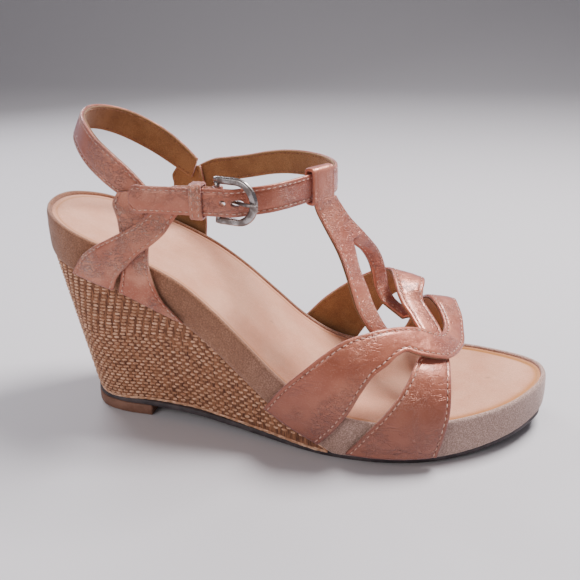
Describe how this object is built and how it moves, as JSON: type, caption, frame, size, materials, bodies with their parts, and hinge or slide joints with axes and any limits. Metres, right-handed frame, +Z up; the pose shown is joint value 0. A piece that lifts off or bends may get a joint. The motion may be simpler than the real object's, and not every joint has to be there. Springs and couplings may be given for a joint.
{
  "type": "wedge sandal",
  "caption": "Open-toe wedge sandal for the right foot, with knotted vamp straps, a T-bar, a slingback heel strap and a buckled ankle strap.",
  "frame": {"origin": "middle of the underside of the heel lift, on the floor", "axes": "+X towards the toe, +Y towards the inner side of the foot, +Z up"},
  "size_m": [0.2396, 0.0963, 0.1472],
  "materials": {
    "outsole_rubber": "matt moulded rubber",
    "lift_rubber": "matt tan rubber",
    "steel": "plain steel",
    "wedge_foam": "closed-cell foam",
    "woven_wrap": "woven straw-look wrap",
    "platform_foam": "closed-cell foam",
    "edge_suede": "napped suede",
    "fibre_board": "pressed fibre board",
    "soft_foam": "soft open foam",
    "sock_suede": "soft napped suede, slightly stained",
    "upper_leather": "crackled pearlised leather",
    "lining_suede": "microsuede",
    "pewter": "antique pewter"
  },
  "bodies": {
    "sandal": {"outsole": "outsole_rubber", "heel_lift": "lift_rubber", "heel_lift_nails": "steel", "wedge_core": "wedge_foam", "wedge_cover": "woven_wrap", "platform_core": "platform_foam", "platform_band": "edge_suede", "insole_board": "fibre_board", "shank": "steel", "shank_rivets": "steel", "foam_pad": "soft_foam", "insole_sock": "sock_suede", "vamp_rear_strap": "upper_leather", "vamp_front_strap": "upper_leather", "t_bar": "upper_leather", "ankle_strap": "upper_leather", "outer_quarter": "upper_leather", "inner_quarter": "upper_leather", "buckle_strap": "upper_leather", "vamp_rear_lining": "lining_suede", "vamp_front_lining": "lining_suede", "t_bar_lining": "lining_suede", "ankle_strap_lining": "lining_suede", "outer_quarter_lining": "lining_suede", "inner_quarter_lining": "lining_suede", "buckle_strap_lining": "lining_suede"},
    "buckle_frame": {"buckle_frame": "pewter"},
    "buckle_tongue": {"buckle_tongue": "pewter"},
    "keeper": {"keeper_loop": "upper_leather"},
    "heel_strap": {"heel_strap": "upper_leather", "heel_strap_lining": "lining_suede"}
  },
  "joints": [
    {"name": "buckle_frame_swing", "type": "hinge", "parent": "sandal", "child": "buckle_frame", "pos_m": [0.063, -0.0353, 0.1143], "axis": [0, 0, -1], "range_deg": [0, 2]},
    {"name": "buckle_tongue_lift", "type": "hinge", "parent": "buckle_frame", "child": "buckle_tongue", "pos_m": [0.063, -0.0353, 0.1143], "axis": [0, 0, -1], "range_deg": [0, 2.5]},
    {"name": "keeper_slide", "type": "slide", "parent": "sandal", "child": "keeper", "axis": [1, 0, 0], "range_m": [-0.003, 0.0015]},
    {"name": "heel_strap_fold", "type": "hinge", "parent": "sandal", "child": "heel_strap", "pos_m": [0.026, 0, 0.116], "axis": [0, -1, 0], "range_deg": [-20, 35], "stiffness_Nm_per_rad": 0.08}
  ]
}
